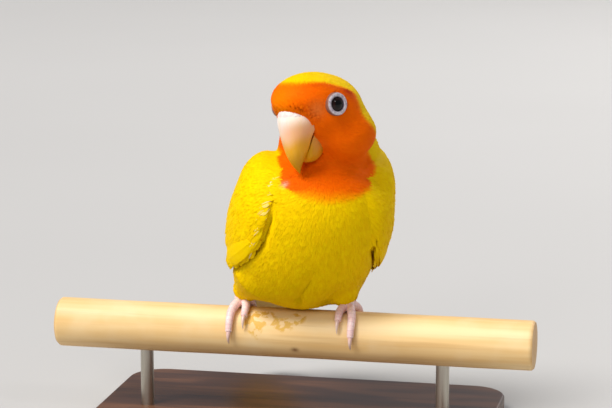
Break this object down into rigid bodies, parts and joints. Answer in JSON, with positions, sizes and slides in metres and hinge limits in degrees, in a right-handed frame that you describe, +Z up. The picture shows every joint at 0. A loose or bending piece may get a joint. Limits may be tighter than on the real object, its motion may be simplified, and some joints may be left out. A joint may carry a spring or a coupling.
{
  "type": "peach-faced lovebird",
  "caption": "Life-size still model of a yellow peach-faced lovebird with its head turned, gripping a cut length of round perch that rods hold over a flat base, for display.",
  "frame": {"origin": "centre of the underside of the stand's base, on the surface that it stands on", "axes": "+Z up, +X along the perch towards the bird's left; the breast faces -Y, turned a little towards +X"},
  "size_m": [0.16, 0.1113, 0.1216],
  "materials": {
    "yellow_plumage": "soft matt feathers, lemon to deep golden yellow, olive gold in the shade",
    "peach_plumage": "soft matt feathers, orange to red orange",
    "bill_horn": "smooth horn with a soft sheen, pinkish white at the root and yellow green at the tip",
    "bare_skin": "bare bumpy skin, lilac white",
    "eye_dark": "wet and glossy, near black with a dark red tinge",
    "foot_skin": "scaly skin, lilac pink",
    "claw_horn": "smooth pale horn",
    "perch_wood": "bare pale wood with a lengthwise grain and a few small stains",
    "stand_wood": "dark stained wood, satin",
    "stand_metal": "brushed, satin"
  },
  "bodies": {
    "root": {"head": "peach_plumage", "neck": "yellow_plumage", "torso": "yellow_plumage", "tail": "yellow_plumage", "wing_left": "yellow_plumage", "wing_right": "yellow_plumage", "thigh_left": "yellow_plumage", "thigh_right": "yellow_plumage", "bill_upper": "bill_horn", "bill_lower": "bill_horn", "cere": "bare_skin", "eye_left": "eye_dark", "eye_right": "eye_dark", "eye_ring_left": "bare_skin", "eye_ring_right": "bare_skin", "foot_left": "foot_skin", "foot_right": "foot_skin", "claw_left_outer_front": "claw_horn", "claw_left_inner_front": "claw_horn", "claw_left_outer_back": "claw_horn", "claw_left_inner_back": "claw_horn", "claw_right_outer_front": "claw_horn", "claw_right_inner_front": "claw_horn", "claw_right_outer_back": "claw_horn", "claw_right_inner_back": "claw_horn", "perch": "perch_wood", "stand_base": "stand_wood", "stand_rod_left": "stand_metal", "stand_rod_right": "stand_metal"}
  },
  "joints": []
}
